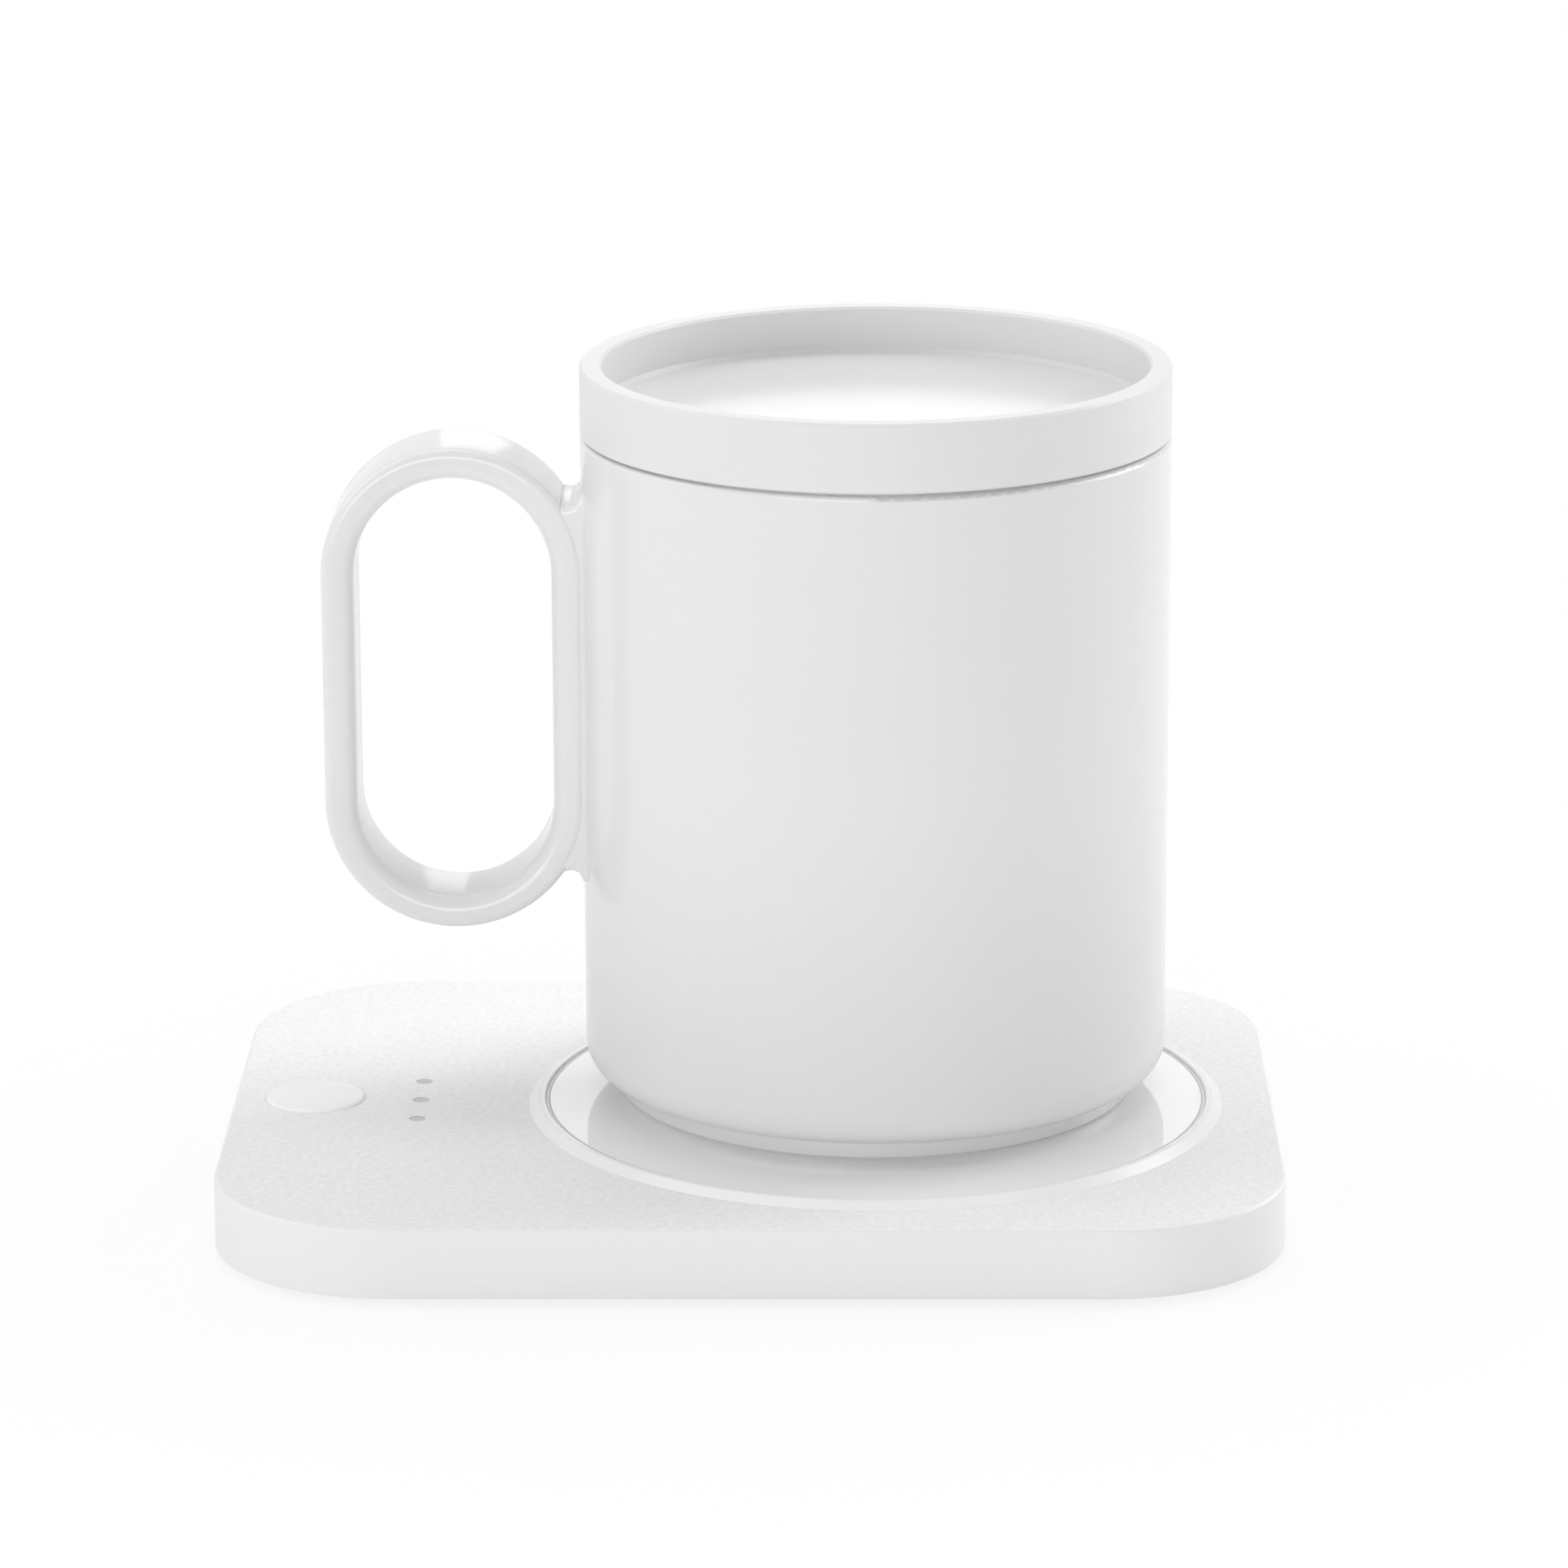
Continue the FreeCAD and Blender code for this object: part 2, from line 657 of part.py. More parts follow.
def routed_wire(points, radius, bend):
    """A round wire along straight runs joined by tangent quarter bends."""
    edges = []
    start = points[0]
    for before, corner, after in zip(points, points[1:], points[2:]):
        into = (corner - before).normalize()
        away = (after - corner).normalize()
        first = corner - into * bend
        last = corner + away * bend
        centre = first + away * bend
        middle = centre + (into - away).normalize() * bend
        edges.append(Part.makeLine(start, first))
        edges.append(Part.Arc(first, middle, last).toShape())
        start = last
    edges.append(Part.makeLine(start, points[-1]))
    path = Part.Wire(edges)
    section = Part.Wire([Part.makeCircle(radius, points[0], points[1] - points[0])])
    return path.makePipeShell([section], True, False)


def dropped_lead(x, y, high, rise, radius, bend):
    """A wire that drops from the heater stack, runs left just over the board and ends on it."""
    run = Z_BOARD + rise
    route = [
        Vector(x, y, high),
        Vector(x, y, run),
        Vector(BOARD_EDGE_X, y, run),
        Vector(BOARD_EDGE_X, y, Z_BOARD),
    ]
    return routed_wire(route, radius, bend)


def heater_lead(y):
    """Insulated lead from the film heater's tab, under the bezel and on to the board."""
    return dropped_lead(LEAD_X, y, Z_INSULATION, LEAD_RISE, LEAD_R, LEAD_BEND)


def sensor_leads():
    """Two fine wires from the sensor bead to the board."""
    high = Z_HEATER - SENSOR_HEIGHT
    return [
        dropped_lead(PLATE_X, y, high, SENSOR_LEAD_RISE, SENSOR_LEAD_R, SENSOR_LEAD_BEND)
        for y in (-SENSOR_LEAD_Y, SENSOR_LEAD_Y)
    ]


def mug_body():
    """Glazed mug: straight wall, rounded heel, short foot and a rounded rim."""
    heel_low = Z_PLATE + FOOT_HEIGHT
    heel_top = heel_low + HEEL_R
    heel_x = MUG_R - HEEL_R
    rim_low = Z_MUG_RIM - MUG_RIM_R
    rim_x = MUG_R - MUG_RIM_R
    heel = arc(
        (heel_x, heel_low),
        (heel_x + HEEL_R * DIAGONAL, heel_top - HEEL_R * DIAGONAL),
        (MUG_R, heel_top),
    )
    rim = arc(
        (MUG_R, rim_low),
        (rim_x + MUG_RIM_R * DIAGONAL, rim_low + MUG_RIM_R * DIAGONAL),
        (rim_x, Z_MUG_RIM),
    )
    foot_edge = FOOT_R - FOOT_EDGE
    solid = turned(
        [
            line((0.0, Z_PLATE), (foot_edge, Z_PLATE)),
            line((foot_edge, Z_PLATE), (FOOT_R, Z_PLATE + FOOT_EDGE)),
            line((FOOT_R, Z_PLATE + FOOT_EDGE), (FOOT_R, heel_low)),
            line((FOOT_R, heel_low), (heel_x, heel_low)),
            heel,
            line((MUG_R, heel_top), (MUG_R, rim_low)),
            rim,
            line((rim_x, Z_MUG_RIM), (0.0, Z_MUG_RIM)),
            line((0.0, Z_MUG_RIM), (0.0, Z_PLATE)),
        ],
        MUG_X,
        MUG_Y,
    )
    floor = Z_PLATE + MUG_FLOOR
    hollow = disc(MUG_BORE_R, floor, Z_MUG_RIM, MUG_X, MUG_Y)
    return solid.cut(hollow.makeFillet(MUG_FLOOR_R, edges_at(hollow, floor)))


def handle_web(top, bottom):
    """Fill between ring and wall whose ends are round notches that touch both smoothly."""
    wall_x = MUG_X - MUG_R
    ring_r = HANDLE_WIDTH / 2
    notch_x = wall_x - WEB_R
    reach = notch_x - HANDLE_X
    rise = sqrt((ring_r + WEB_R) ** 2 - reach**2)
    share = ring_r / (ring_r + WEB_R)
    touch_x = HANDLE_X + reach * share
    root_x = wall_x + WEB_ROOT
    ring_high = top - ring_r
    ring_low = bottom + ring_r
    high = ring_high + rise
    low = ring_low - rise
    touch_high = (touch_x, ring_high + rise * share)
    touch_low = (touch_x, ring_low - rise * share)
    face = Part.Face(
        Part.Wire(
            [
                arc(touch_high, (notch_x, high - WEB_R), (wall_x, high)),
                line((wall_x, high), (root_x, high)),
                line((root_x, high), (root_x, low)),
                line((root_x, low), (wall_x, low)),
                arc((wall_x, low), (notch_x, low + WEB_R), touch_low),
                line(touch_low, touch_high),
            ]
        )
    )
    web = face.extrude(BACK * (HANDLE_DEPTH - 2 * HANDLE_EDGE_R))
    web.translate(BACK * (MUG_Y - HANDLE_DEPTH / 2 + HANDLE_EDGE_R))
    return web


def mug_handle():
    """Stadium-shaped ring handle, luted flat against the wall, with a small web above and below."""
    top = Z_MUG_RIM - HANDLE_TOP_DROP
    middle = top - HANDLE_HEIGHT / 2
    front = MUG_Y - HANDLE_DEPTH / 2
    outer, hole = [
        obround(HANDLE_WIDTH - trim, HANDLE_HEIGHT - trim, HANDLE_DEPTH, HANDLE_X, front, middle)
        for trim in (0.0, 2 * HANDLE_BAND)
    ]
    loop = outer.cut(hole)
    faces = [face for face in loop.Faces if abs(face.normalAt(0, 0).y) > 0.9]
    loop = loop.makeFillet(HANDLE_EDGE_R, [edge for face in faces for edge in face.Edges])
    loop = joined([loop, handle_web(top, top - HANDLE_HEIGHT)])
    return loop.cut(disc(MUG_R, Z_PLATE, Z_LID_TOP, MUG_X, MUG_Y))


def lid_cap():
    """Lid moulding: an upright rim round a sunken floor, resting on the mug by an inner land."""
    floor = Z_LID_TOP - LID_RECESS
    recess_r = MUG_R - LID_RIM
    plug_r = INSERT_R + INSERT_PLAY
    return turned(
        outline(
            [
                (0.0, floor),
                (recess_r - LID_FLOOR_EDGE, floor),
                (recess_r, floor + LID_FLOOR_EDGE),
                (recess_r, Z_LID_TOP - LID_EDGE),
                (recess_r + LID_EDGE, Z_LID_TOP),
                (MUG_R - LID_EDGE, Z_LID_TOP),
                (MUG_R, Z_LID_TOP - LID_EDGE),
                (MUG_R, Z_LID),
                (LID_LAND_R, Z_LID),
                (LID_LAND_R, Z_MUG_RIM),
                (plug_r, Z_MUG_RIM),
                (plug_r, Z_LID_UNDER),
                (0.0, Z_LID_UNDER),
            ]
        ),
        MUG_X,
        MUG_Y,
    )


def lid_insert():
    """Ring moulding clipped under the cap; its groove holds the seal."""
    low = Z_MUG_RIM - INSERT_DEPTH
    groove_low = low + GROOVE_LIP
    groove_high = groove_low + GROOVE_HEIGHT
    return turned(
        outline(
            [
                (INSERT_INNER_R, low),
                (INSERT_R - INSERT_EDGE, low),
                (INSERT_R, low + INSERT_EDGE),
                (INSERT_R, groove_low),
                (SEAL_FLOOR_R, groove_low),
                (SEAL_FLOOR_R, groove_high),
                (INSERT_R, groove_high),
                (INSERT_R, Z_LID_UNDER),
                (INSERT_INNER_R, Z_LID_UNDER),
            ]
        ),
        MUG_X,
        MUG_Y,
    )


def lid_seal():
    """Soft ring with two lips, stretched into the groove of the insert."""
    low = Z_MUG_RIM - INSERT_DEPTH + GROOVE_LIP + SEAL_PLAY
    high = low + GROOVE_HEIGHT - 2 * SEAL_PLAY
    inner = SEAL_FLOOR_R + SEAL_PLAY / 2
    valley = SEAL_R - SEAL_VALLEY
    return turned(
        outline(
            [
                (inner, low),
                (SEAL_R, low),
                (SEAL_R, low + SEAL_LIP),
                (valley, low + SEAL_LIP + SEAL_SLOPE),
                (valley, high - SEAL_LIP - SEAL_SLOPE),
                (SEAL_R, high - SEAL_LIP),
                (SEAL_R, high),
                (inner, high),
            ]
        ),
        MUG_X,
        MUG_Y,
    )


def whole_object():
    """Every node of the object with its solids, in the order of assembly."""
    nodes = {
        "top_housing": top_housing(),
        "bottom_cover": bottom_cover(),
        "housing_screws": housing_screws(),
        "plate_bezel": plate_bezel(),
        "plate_gasket": plate_gasket(),
        "heating_plate": heating_plate(),
        "heat_spreader": heat_spreader(),
        "heating_element": heating_element(),
        "insulation_pad": insulation_pad(),
        "heater_clamp": heater_clamp(),
        "clamp_screws": clamp_screws(),
        "temperature_sensor": temperature_sensor(),
        "thermal_fuse": thermal_fuse(),
        "control_board": control_board(),
        "board_screws": board_screws(),
        "tact_switch": tact_switch(),
        "switch_plunger": switch_plunger(),
        "button_cap": button_cap(),
        "inlet_shell": inlet_shell(),
        "inlet_tongue": inlet_tongue(),
        "heater_lead_front": heater_lead(-LEAD_Y),
        "heater_lead_rear": heater_lead(LEAD_Y),
        "sensor_leads": sensor_leads(),
        "mug_body": mug_body(),
        "mug_handle": mug_handle(),
        "lid_cap": lid_cap(),
        "lid_insert": lid_insert(),
        "lid_seal": lid_seal(),
    }
    for name, sizes in CHIPS.items():
        nodes[name] = chip(*sizes)
    for place, (x, y) in CORNERS.items():
        nodes["foot_" + place] = foot(x, y)
    for name, (x, y) in LIGHT_PLACES.items():
        nodes["light_pipe_" + name] = light_pipe(x, y)
        nodes["indicator_led_" + name] = indicator_led(x, y)
    return nodes


os.makedirs("parts", exist_ok=True)
for node, shape in whole_object().items():
    solids = shape if isinstance(shape, list) else shape.Solids
    piece = Part.makeCompound(solids) if len(solids) > 1 else solids[0]
    piece.exportStep("parts/" + node + ".step")
    print(node, len(solids), "solid(s),", round(sum(s.Volume for s in solids), 1), "mm3")
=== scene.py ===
import math

import bmesh
import bpy
from mathutils import Matrix, Vector


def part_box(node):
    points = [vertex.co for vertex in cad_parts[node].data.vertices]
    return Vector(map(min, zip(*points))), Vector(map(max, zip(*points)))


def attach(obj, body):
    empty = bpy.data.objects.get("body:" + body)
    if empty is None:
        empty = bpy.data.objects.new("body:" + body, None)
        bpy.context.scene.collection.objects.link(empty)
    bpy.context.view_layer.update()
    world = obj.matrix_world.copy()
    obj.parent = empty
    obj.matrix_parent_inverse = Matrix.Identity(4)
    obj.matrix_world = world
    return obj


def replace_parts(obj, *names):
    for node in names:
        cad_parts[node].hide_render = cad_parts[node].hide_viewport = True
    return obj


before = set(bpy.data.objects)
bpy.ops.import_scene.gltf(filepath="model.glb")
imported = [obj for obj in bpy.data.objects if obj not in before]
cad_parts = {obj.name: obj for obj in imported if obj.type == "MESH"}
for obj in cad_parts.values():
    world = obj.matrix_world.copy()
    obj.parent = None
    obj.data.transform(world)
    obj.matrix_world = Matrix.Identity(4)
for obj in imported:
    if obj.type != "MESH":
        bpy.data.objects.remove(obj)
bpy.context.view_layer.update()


# The camera stands where the photograph was taken: a long lens about 0.9 m in front,
# looking down 15 degrees, with the whole frame used and no shift.
eye = (0.014516, -0.905473, 0.304822)
look_down = math.radians(90 - 15.377)
look_left = math.radians(0.638)
lean = math.radians(-0.185)


def set_out(name, data):
    """Puts a camera, a lamp or a mesh into the scene."""
    shown = bpy.data.objects.new(name, data)
    bpy.context.scene.collection.objects.link(shown)
    return shown


camera_data = bpy.data.cameras.new("camera")
camera_data.lens = 157.293
camera_data.sensor_width = 36.0
camera = set_out("camera", camera_data)
turned = Matrix.Rotation(look_left, 4, "Z") @ Matrix.Rotation(look_down, 4, "X")
camera.matrix_world = Matrix.Translation(eye) @ turned @ Matrix.Rotation(lean, 4, "Z")
bpy.context.scene.camera = camera
bpy.context.scene.view_settings.view_transform = "Standard"


# The white room: eyes and mirrors see plain white, and surfaces are lit by a softer white
# that is dimmer high up over the camera, towards the studio's ceiling.
room_level = 0.51
ceiling_level = 0.36
ceiling_way = (0.0, -0.6, 0.8)
ceiling_edge = (0.3, 0.85)


class Reading:
    """One socket of a finish. Sums on it add Math nodes, and node() adds any other node."""

    def __init__(self, tree, socket=None):
        self.tree = tree
        self.socket = socket

    def node(self, kind, settings=None, sockets=None, output=0):
        made = self.tree.nodes.new(kind)
        for name, value in (settings or {}).items():
            setattr(made, name, value)
        for name, value in (sockets or {}).items():
            if isinstance(value, Reading):
                self.tree.links.new(value.socket, made.inputs[name])
            else:
                made.inputs[name].default_value = value
        return Reading(self.tree, made.outputs[output] if len(made.outputs) else None)

    def sum(self, operation, first, second):
        return self.node("ShaderNodeMath", {"operation": operation}, {0: first, 1: second})

    def __add__(self, other):
        return self.sum("ADD", self, other)

    def __radd__(self, other):
        return self.sum("ADD", other, self)

    def __sub__(self, other):
        return self.sum("SUBTRACT", self, other)

    def __rsub__(self, other):
        return self.sum("SUBTRACT", other, self)

    def __mul__(self, other):
        return self.sum("MULTIPLY", self, other)

    def __rmul__(self, other):
        return self.sum("MULTIPLY", other, self)

    def clamped(self, low, high):
        """0 below low, 1 above high, and a smooth rise between them."""
        return self.node(
            "ShaderNodeMapRange",
            {"interpolation_type": "SMOOTHSTEP"},
            {"Value": self, "From Min": low, "From Max": high},
        )


def emptied(made):
    """Clears a finish, and returns the reading that its nodes are made from."""
    made.use_nodes = True
    made.node_tree.nodes.clear()
    return Reading(made.node_tree)


def grey(level):
    return (level, level, level, 1.0)


def seen_straight(paint):
    """1 for what an eye, a mirror or a glass looks at, and 0 for light on its way."""
    eyes, mirrors, glasses = [
        paint.node("ShaderNodeLightPath", output=name)
        for name in ("Is Camera Ray", "Is Glossy Ray", "Is Transmission Ray")]
    return (eyes + mirrors + glasses).clamped(0.0, 1.0)


def mixed(paint, share, first, second):
    """Two shaders mixed: share of the second, and the rest of the first."""
    return paint.node("ShaderNodeMixShader", sockets={0: share, 1: first, 2: second})


room = bpy.data.worlds.new("white_room")
air = emptied(room)
plain_white, soft_white, dim_white = [
    air.node("ShaderNodeBackground", sockets={"Color": grey(1.0), "Strength": level})
    for level in (1.0, room_level, ceiling_level)]
way = air.node("ShaderNodeTexCoord", output="Generated")
ceiling = air.node(
    "ShaderNodeVectorMath", {"operation": "DOT_PRODUCT"}, {0: way, 1: ceiling_way}, "Value")
room_light = mixed(air, ceiling.clamped(*ceiling_edge), soft_white, dim_white)
air.node("ShaderNodeOutputWorld", sockets={
    "Surface": mixed(air, seen_straight(air), room_light, plain_white)})
bpy.context.scene.world = room


# The sweep of white studio floor. It glows white to the eye, a little less close to the
# object, where it keeps part of the shadow, and from below it is clear.
floor_r = 4.0
floor_level = 0.93
glow_near = 0.84
near_and_far = (0.05, 0.16)

floor_mesh = bpy.data.meshes.new("floor")
sweep = bmesh.new()
bmesh.ops.create_circle(sweep, cap_ends=True, segments=96, radius=floor_r)
sweep.to_mesh(floor_mesh)
sweep.free()
floor = set_out("floor", floor_mesh)

floor_paint = bpy.data.materials.new("studio_floor")
ground = emptied(floor_paint)
spot = ground.node("ShaderNodeTexCoord", output="Object")
reach = ground.node("ShaderNodeVectorMath", {"operation": "LENGTH"}, {0: spot}, "Value")
glow = seen_straight(ground) * (glow_near + (1 - glow_near) * reach.clamped(*near_and_far))
matt = ground.node("ShaderNodeBsdfDiffuse", sockets={"Color": grey(floor_level)})
white = ground.node("ShaderNodeEmission", sockets={"Color": grey(1.0), "Strength": 1.0})
from_below = ground.node("ShaderNodeNewGeometry", output="Backfacing")
clear = ground.node("ShaderNodeBsdfTransparent")
ground.node("ShaderNodeOutputMaterial", sockets={
    "Surface": mixed(ground, from_below, mixed(ground, glow, matt, white), clear)})
floor_mesh.materials.append(floor_paint)


# Softboxes: a wide one overhead and behind, a broad one beside the camera, a tall strip at
# the right, another at the left, and a small one behind that glints in the handle's top.
def softbox(name, place, aim, width, height, brightness):
    """A rectangular lamp that looks at aim and whose face is as bright as brightness."""
    lamp = bpy.data.lights.new(name, "AREA")
    lamp.shape = "RECTANGLE"
    lamp.size = width
    lamp.size_y = height
    lamp.energy = brightness * math.pi * width * height
    shown = set_out(name, lamp)
    turn = (Vector(place) - Vector(aim)).to_track_quat("Z", "Y")
    shown.matrix_world = Matrix.Translation(place) @ turn.to_matrix().to_4x4()
    shown.visible_camera = False


softbox("overhead_softbox", place=(0.0, 0.40, 1.45), aim=(0, 0, 0.03),
        width=1.3, height=1.2, brightness=1.3)
softbox("front_softbox", place=(-0.35, -1.28, 0.24), aim=(0, 0, 0.10),
        width=1.3, height=0.44, brightness=3.5)
softbox("right_softbox", place=(0.95, 0.55, 0.35), aim=(0.02, 0, 0.05),
        width=0.55, height=1.3, brightness=3.5)
softbox("left_softbox", place=(-0.85, 0.1, 0.8), aim=(0, 0, 0.05),
        width=0.7, height=0.9, brightness=1.35)
softbox("back_softbox", place=(-0.02, 1.3, 0.39), aim=(0, 0, 0.08),
        width=0.30, height=0.26, brightness=0.8)


# The floor plate of the warmer: injection-moulded white plastic with a fine matt grain,
# pressed up into the housing and held by four screws from below.
def finish(name):
    """A new finish and the reading that its nodes are made from."""
    made = bpy.data.materials.new(name)
    return made, emptied(made)


def surface(made, paint, sockets):
    """Ends a finish with its surface shader."""
    shader = paint.node("ShaderNodeBsdfPrincipled", sockets=sockets)
    paint.node("ShaderNodeOutputMaterial", sockets={"Surface": shader})
    return made


def tint(paint, mask, first, second):
    """A colour between two, by a mask."""
    share, first_colour, second_colour, mixed_colour = 0, 6, 7, 2
    return paint.node(
        "ShaderNodeMix",
        {"data_type": "RGBA"},
        {share: mask, first_colour: first, second_colour: second},
        mixed_colour,
    )


def on_piece(paint):
    """The place on the piece, in metres."""
    return paint.node("ShaderNodeTexCoord", output="Object")


def speckle(paint, size, detail=2.0):
    """Noise whose lumps are about size metres across, from 0 to 1."""
    return paint.node("ShaderNodeTexNoise", sockets={
        "Vector": on_piece(paint), "Scale": 1.0 / size, "Detail": detail, "Roughness": 0.55,
    }, output="Fac")


def relief(paint, height, depth):
    """The bump of a height from 0 to 1 that stands depth metres high."""
    return paint.node("ShaderNodeBump", sockets={
        "Strength": 1.0, "Distance": depth, "Height": height}, output="Normal")


def moulded_plastic(name, level, roughness, grain, depth, patch=0.012):
    """Moulded plastic: an even colour with faint flow patches and a fine spark grain."""
    made, paint = finish(name)
    flow = speckle(paint, 0.018, detail=1.0)
    fine = speckle(paint, grain, detail=3.0)
    return surface(made, paint, {
        "Base Color": tint(paint, flow, grey(level - patch), grey(level + patch)),
        "Roughness": roughness + 0.10 * (fine - 0.5) + 0.06 * (flow - 0.5),
        "Normal": relief(paint, fine, depth),
        "IOR": 1.49,
    })


def dress(made, *names):
    """Gives solid nodes their finish."""
    for name in names:
        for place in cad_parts[name].material_slots:
            place.material = made


cover_plastic = moulded_plastic(
    "cover_plastic", level=0.80, roughness=0.52, grain=0.0005, depth=0.00003)
dress(cover_plastic, "bottom_cover")


# Four round feet of grey silicone rubber, moulded with a fine matt skin and stuck into the
# shallow wells of the floor plate. A little dust lightens them in patches.
def rubber():
    made, paint = finish("foot_rubber")
    skin = speckle(paint, 0.0003, detail=3.0)
    dust = speckle(paint, 0.004, detail=4.0).clamped(0.5, 0.75)
    return surface(made, paint, {
        "Base Color": tint(paint, dust, grey(0.52), grey(0.60)),
        "Roughness": 0.72 + 0.12 * skin,
        "Normal": relief(paint, skin, 0.00003),
        "Sheen Weight": 0.15,
    })


dress(rubber(), "foot_front_left", "foot_front_right", "foot_rear_left", "foot_rear_right")


# The screws: four through the floor plate, four in the board and three in the heater clamp,
# of zinc-plated steel with a clouded skin and fine scratches.
def plated_screws():
    made, paint = finish("zinc_plated_steel")
    cloud = speckle(paint, 0.0012, detail=3.0)
    scratch = speckle(paint, 0.0002)
    return surface(made, paint, {
        "Base Color": tint(paint, cloud, (0.50, 0.51, 0.53, 1), (0.66, 0.67, 0.68, 1)),
        "Metallic": 1.0,
        "Roughness": 0.24 + 0.16 * cloud,
        "Normal": relief(paint, scratch, 0.00001),
    })


dress(plated_screws(), "housing_screws", "board_screws", "clamp_screws")


# The control board: green glass-epoxy laminate with the weave showing faintly through the
# solder mask, screwed to four posts of the floor plate.
def circuit_board():
    made, paint = finish("green_laminate")
    warp, weft = [paint.node("ShaderNodeTexWave", {"bands_direction": way}, {
        "Vector": on_piece(paint), "Scale": 620.0, "Distortion": 0.4, "Detail": 1.0,
    }, "Fac") for way in "XY"]
    cloth = warp * weft
    cloud = speckle(paint, 0.006)
    return surface(made, paint, {
        "Base Color": tint(paint, cloth, (0.015, 0.12, 0.05, 1), (0.025, 0.17, 0.07, 1)),
        "Roughness": 0.26 + 0.10 * cloud,
        "Normal": relief(paint, cloth, 0.00002),
        "Coat Weight": 0.4,
    })


dress(circuit_board(), "control_board")


# The parts soldered to the board: black epoxy packages with a sandblasted skin, the tact
# switch among them, and the black insert that carries the inlet's contacts.
def epoxy_package():
    made, paint = finish("black_epoxy")
    blast = speckle(paint, 0.00015, detail=3.0)
    cloud = speckle(paint, 0.002)
    return surface(made, paint, {
        "Base Color": tint(paint, cloud, grey(0.018), grey(0.032)),
        "Roughness": 0.45 + 0.2 * blast,
        "Normal": relief(paint, blast, 0.00001),
    })


dress(epoxy_package(), "control_chip", "power_transistor", "inlet_capacitor",
      "tact_switch", "inlet_tongue")


# The inlet at the back: a shell rolled from nickel-plated steel strip, with the drawing
# lines of the strip along it, soldered to the board behind its hole in the housing.
def drawn_lines(paint, squeeze, fineness, detail):
    """Noise drawn out into long lines, as the rolls leave them."""
    drawn = paint.node("ShaderNodeMapping", sockets={
        "Vector": on_piece(paint), "Scale": squeeze})
    return paint.node("ShaderNodeTexNoise", sockets={
        "Vector": drawn, "Scale": fineness, "Detail": detail}, output="Fac")


def plated_strip():
    made, paint = finish("nickel_plated_strip")
    lines = drawn_lines(paint, squeeze=(1.0, 0.05, 1.0), fineness=9000.0, detail=2.0)
    cloud = speckle(paint, 0.0015)
    return surface(made, paint, {
        "Base Color": tint(paint, cloud, (0.60, 0.59, 0.56, 1), (0.74, 0.73, 0.70, 1)),
        "Metallic": 1.0,
        "Roughness": 0.20 + 0.14 * lines,
        "Normal": relief(paint, lines, 0.000004),
    })


dress(plated_strip(), "inlet_shell")


# The top housing: white plastic moulded in one piece with its side wall. Its top face has a
# coarse spark texture from the mould, and its side wall a smooth satin.
def facing_up(paint, steep, level):
    """1 where the surface is level, and 0 where it is steeper than steep."""
    facing = paint.node("ShaderNodeTexCoord", output="Normal")
    upright = paint.node("ShaderNodeSeparateXYZ", sockets={0: facing}, output="Z")
    return upright.clamped(steep, level)


def spark_housing():
    made, paint = finish("spark_white_plastic")
    up = facing_up(paint, 0.90, 0.97)
    mottle = speckle(paint, 0.0008, detail=1.0)
    fine = speckle(paint, 0.00035)
    flow = speckle(paint, 0.02, detail=1.0)
    spark = tint(paint, mottle.clamped(0.32, 0.68) * up, grey(0.86), grey(0.93))
    return surface(made, paint, {
        "Base Color": tint(paint, 0.25 * flow, spark, grey(0.90)),
        "Roughness": 0.36 + 0.20 * up + 0.10 * (fine - 0.5),
        "Normal": relief(paint, up * mottle + 0.02 * fine, 0.000025),
        "IOR": 1.49,
    })


dress(spark_housing(), "top_housing")


# Three light pipes, grey tinted polycarbonate pegs whose ends sit flush in the top face,
# and the surface-mounted lamps below them.
def light_window():
    made, paint = finish("grey_polycarbonate")
    haze = speckle(paint, 0.0006)
    return surface(made, paint, {
        "Base Color": tint(paint, haze, grey(0.34), grey(0.42)),
        "Roughness": 0.28 + 0.12 * haze,
        "Normal": relief(paint, haze, 0.00001),
        "Coat Weight": 0.3,
    })


dress(light_window(), "light_pipe_front", "light_pipe_middle", "light_pipe_rear")
lamp_housing = moulded_plastic(
    "lamp_housing", level=0.74, roughness=0.4, grain=0.0002, depth=0.00001)
dress(lamp_housing, "indicator_led_front", "indicator_led_middle", "indicator_led_rear")


# The round push button: a dished white cap polished a little smoother than the housing,
# and the plunger below it that meets the switch.
button_plastic = moulded_plastic(
    "button_plastic", level=0.93, roughness=0.42, grain=0.0004, depth=0.000008)
plunger_plastic = moulded_plastic(
    "plunger_plastic", level=0.78, roughness=0.42, grain=0.0004, depth=0.00001)
dress(button_plastic, "button_cap")
dress(plunger_plastic, "switch_plunger")


# The button's wiping lip: a thin ring moulded round the cap just below its rounded edge, so
# that no gap shows between it and the housing. Its heights are down from the lip's top.
lip_inner_r = 0.00670
lip_outer_r = 0.00690
lip_edge = 0.00004
lip_sunk = 0.00046
lip_depth = 0.0006
lip_taper_depth = 0.0003
lip_edge_depth = 0.00003


def piece(name, shape, made, body):
    """Ends a new piece: its smooth mesh, its finish, and the body that carries it."""
    for face in shape.faces:
        face.smooth = True
    mesh = bpy.data.meshes.new(name)
    bmesh.ops.recalc_face_normals(shape, faces=shape.faces)
    shape.to_mesh(mesh)
    shape.free()
    mesh.materials.append(made)
    shown = set_out(name, mesh)
    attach(shown, body)
    return shown


